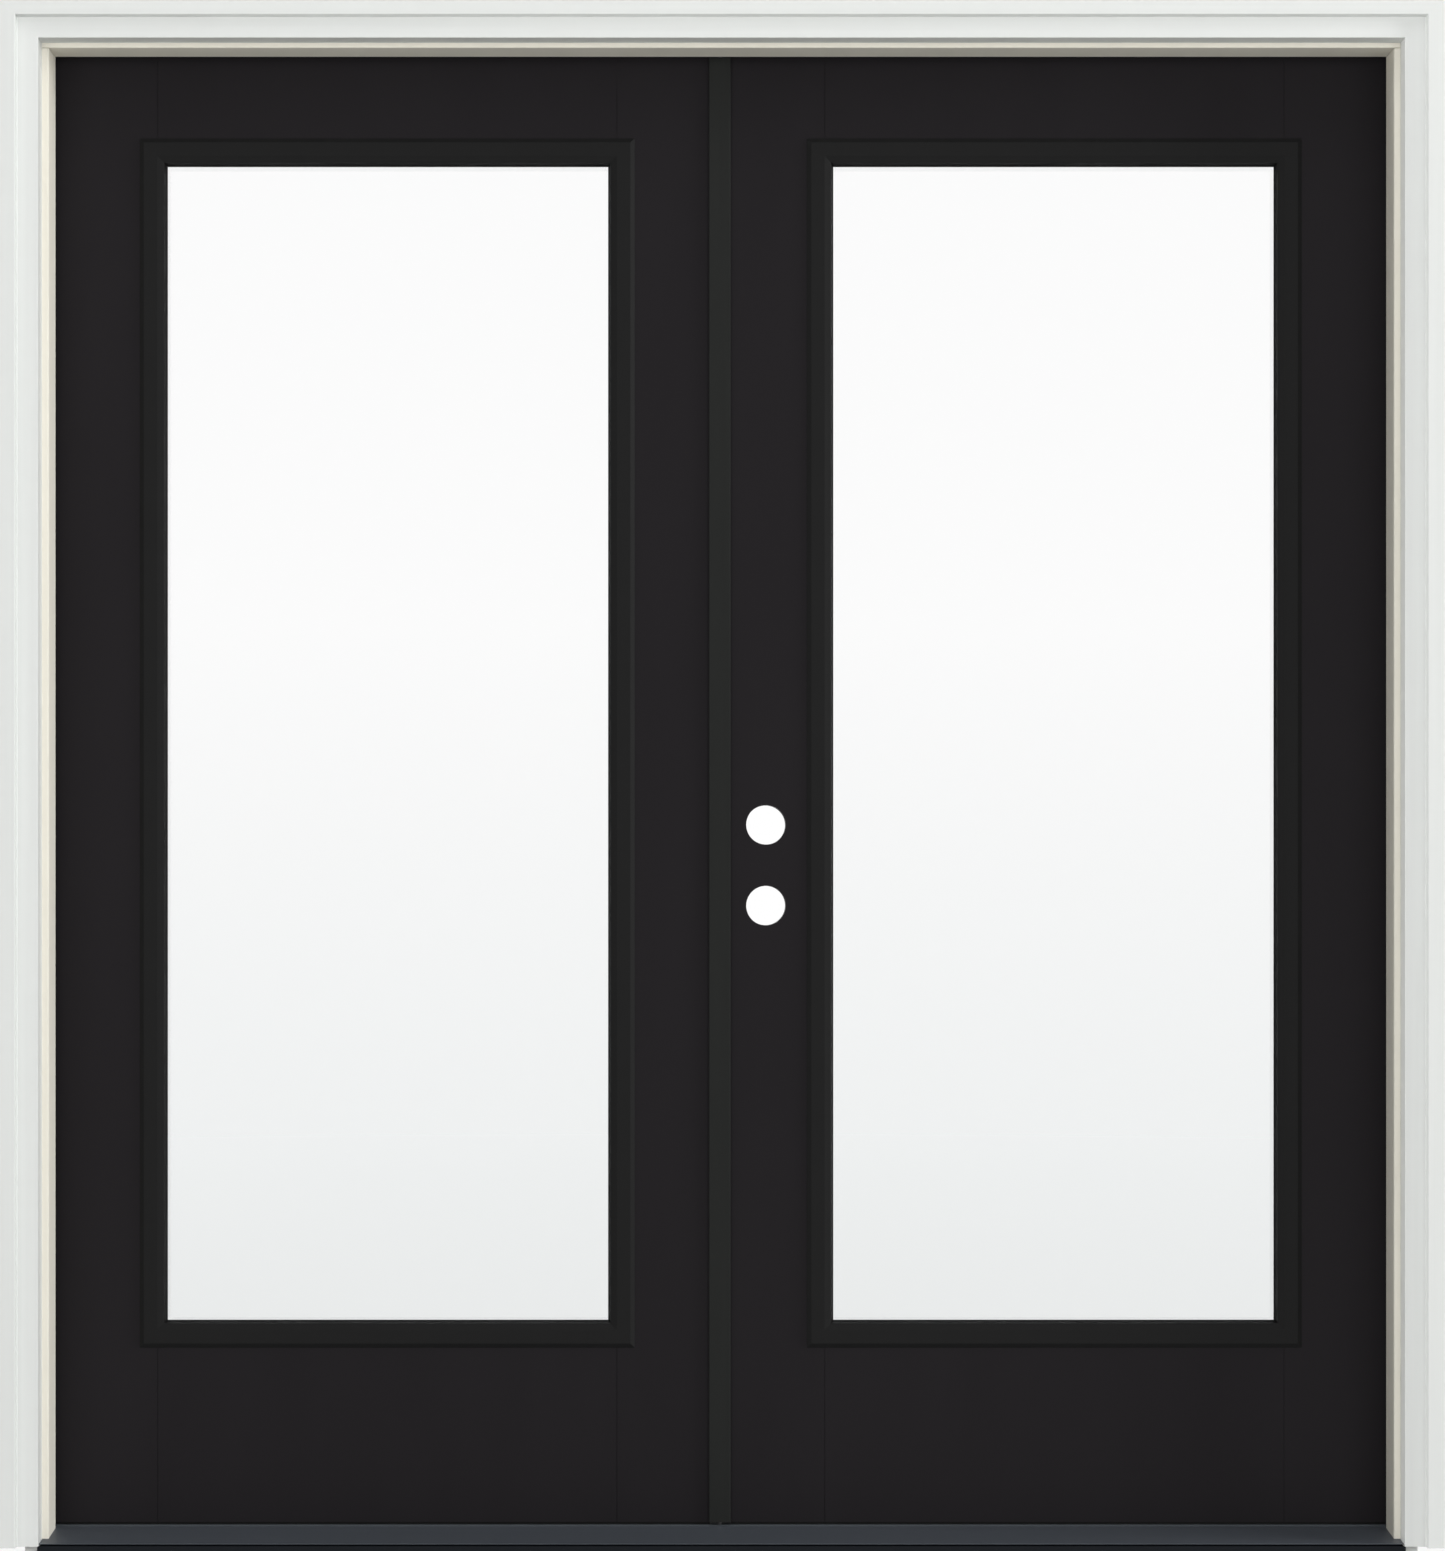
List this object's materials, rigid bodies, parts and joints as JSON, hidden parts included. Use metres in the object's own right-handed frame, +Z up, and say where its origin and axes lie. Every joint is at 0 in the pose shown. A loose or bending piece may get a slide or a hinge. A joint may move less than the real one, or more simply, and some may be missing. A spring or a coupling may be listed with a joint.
{
  "type": "french doors",
  "caption": "Inswing pair of black doors with full-height glass in a primed frame with white casing, astragal, sloped aluminium sill and bare lock bores.",
  "frame": {"origin": "underside of the sill, midway between the jambs and halfway through their depth", "axes": "+X to the right seen from outside, +Y inwards, +Z up"},
  "size_m": [1.9274, 0.1775, 2.0802],
  "materials": {
    "white_casing": "satin white, factory finished",
    "primed_jamb": "almond factory primer",
    "leaf_skin": "smooth black fibreglass, satin",
    "leaf_timber": "edges finished black",
    "core_foam": "rigid foam",
    "lite_frame": "moulded black, fine grain",
    "clear_glass": "clear float glass",
    "spacer_bar": "mill finish",
    "black_seal": "matt black foam and rubber",
    "sill_aluminium": "dark anodised, fine extrusion lines",
    "sill_apron": "black composite",
    "sill_substrate": "pale foamed plastic",
    "riser_composite": "slate composite",
    "hinge_metal": "satin nickel",
    "screw_steel": "zinc plated",
    "bolt_steel": "satin",
    "astragal_metal": "black powder coat",
    "astragal_lip": "black flexible lip"
  },
  "bodies": {
    "frame": {"corner_pads": "black_seal", "frame_corner_screws": "screw_steel", "head_brickmould": "white_casing", "head_jamb": "primed_jamb", "head_weatherstrip": "black_seal", "left_brickmould": "white_casing", "left_frame_hinge_leaves": "hinge_metal", "left_frame_hinge_screws": "screw_steel", "left_hinge_pins": "hinge_metal", "left_jamb": "primed_jamb", "left_weatherstrip": "black_seal", "right_brickmould": "white_casing", "right_frame_hinge_leaves": "hinge_metal", "right_frame_hinge_screws": "screw_steel", "right_hinge_pins": "hinge_metal", "right_jamb": "primed_jamb", "right_weatherstrip": "black_seal", "sill_apron": "sill_apron", "sill_base": "sill_substrate", "sill_deck": "sill_aluminium", "sill_riser": "riser_composite", "sill_riser_screws": "screw_steel"},
    "active_leaf": {"active_bottom_rail": "leaf_timber", "active_exterior_lite_frame": "lite_frame", "active_exterior_skin": "leaf_skin", "active_foam_core": "core_foam", "active_glass_spacer": "spacer_bar", "active_hinge_leaves": "hinge_metal", "active_hinge_screws": "screw_steel", "active_hinge_stile": "leaf_timber", "active_inner_pane": "clear_glass", "active_interior_lite_frame": "lite_frame", "active_interior_skin": "leaf_skin", "active_lite_screws": "screw_steel", "active_lock_stile": "leaf_timber", "active_outer_pane": "clear_glass", "active_sweep": "black_seal", "active_top_rail": "leaf_timber"},
    "passive_leaf": {"astragal": "astragal_metal", "astragal_lip": "astragal_lip", "astragal_screws": "screw_steel", "passive_bottom_rail": "leaf_timber", "passive_exterior_lite_frame": "lite_frame", "passive_exterior_skin": "leaf_skin", "passive_foam_core": "core_foam", "passive_glass_spacer": "spacer_bar", "passive_hinge_leaves": "hinge_metal", "passive_hinge_screws": "screw_steel", "passive_hinge_stile": "leaf_timber", "passive_inner_pane": "clear_glass", "passive_interior_lite_frame": "lite_frame", "passive_interior_skin": "leaf_skin", "passive_lite_screws": "screw_steel", "passive_lock_stile": "leaf_timber", "passive_outer_pane": "clear_glass", "passive_sweep": "black_seal", "passive_top_rail": "leaf_timber"},
    "top_bolt": {"astragal_top_bolt": "bolt_steel"},
    "bottom_bolt": {"astragal_bottom_bolt": "bolt_steel"}
  },
  "joints": [
    {"name": "active_swing", "type": "hinge", "parent": "frame", "child": "active_leaf", "pos_m": [0.9146, 0.0655, 0], "axis": [0, 0, -1], "range_deg": [0, 170]},
    {"name": "passive_swing", "type": "hinge", "parent": "frame", "child": "passive_leaf", "pos_m": [-0.9146, 0.0655, 0], "axis": [0, 0, 1], "range_deg": [0, 170], "deforming": ["astragal_lip"]},
    {"name": "top_bolt_slide", "type": "slide", "parent": "passive_leaf", "child": "top_bolt", "axis": [0, 0, 1], "range_m": [0, 0.015]},
    {"name": "bottom_bolt_slide", "type": "slide", "parent": "passive_leaf", "child": "bottom_bolt", "axis": [0, 0, -1], "range_m": [0, 0.015]}
  ]
}
